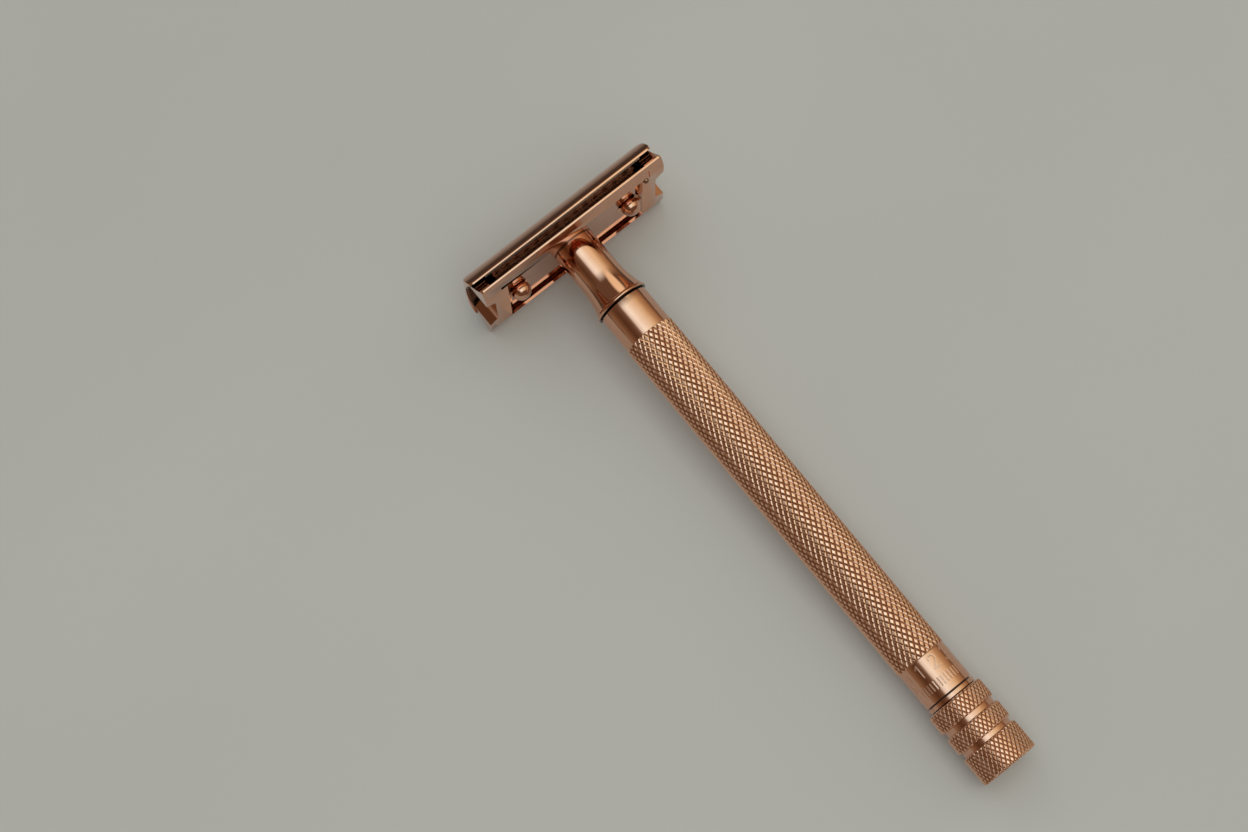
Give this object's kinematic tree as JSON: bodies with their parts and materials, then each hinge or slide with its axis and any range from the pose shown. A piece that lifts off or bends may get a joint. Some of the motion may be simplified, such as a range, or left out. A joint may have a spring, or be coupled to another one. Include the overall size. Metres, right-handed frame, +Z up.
{
  "type": "safety razor",
  "caption": "Adjustable double-edge safety razor lying on its side: arched cap, guard plate, knurled handle and a screw knob that lifts the cap.",
  "frame": {"origin": "bottom centre of the bounding box of the razor lying on its side, on the surface that it rests on", "axes": "+X along the handle from the head to the knob, +Y along the blade, +Z up from the surface; the handle axis slopes down by 3.20 degrees towards the knob, so that the lower guard bar and the knob's rim both touch the surface"},
  "size_m": [0.1362, 0.0438, 0.0263],
  "materials": {
    "rose_gold": "mirror-polished rose-gold plate",
    "knurled_rose_gold": "diamond-knurled rose-gold plate",
    "blade_steel": "ground and honed",
    "bare_brass": "turned",
    "steel": "turned stainless steel",
    "dark_nylon": "moulded"
  },
  "bodies": {
    "handle": {"base_plate": "rose_gold", "neck": "rose_gold", "neck_bush": "bare_brass", "handle_tube": "knurled_rose_gold", "scale_ring": "rose_gold", "lower_washer": "steel", "drag_spring": "steel"},
    "knob": {"draw_nut": "bare_brass", "draw_rod": "steel", "retaining_clip": "steel", "upper_washer": "steel", "thrust_washer": "dark_nylon", "index_ring": "rose_gold", "knob": "knurled_rose_gold", "lock_washer": "steel", "knob_screw": "steel", "end_plug": "rose_gold"},
    "cap": {"cap": "rose_gold", "cap_stud": "rose_gold", "guide_posts": "rose_gold", "blade": "blade_steel"}
  },
  "joints": [
    {"name": "knob_turn", "type": "hinge", "parent": "handle", "child": "knob", "pos_m": [-0.0605, 0, 0.01313], "axis": [0.9984, 0, -0.0558], "range_deg": [0, 2520]},
    {"name": "cap_rise", "type": "slide", "parent": "handle", "child": "cap", "axis": [-0.9984, 0, 0.0558], "range_m": [0, 0.0056]}
  ],
  "couplings": [
    {"joint": "knob_turn", "follows": "cap_rise", "rad_per_m": 7854}
  ]
}
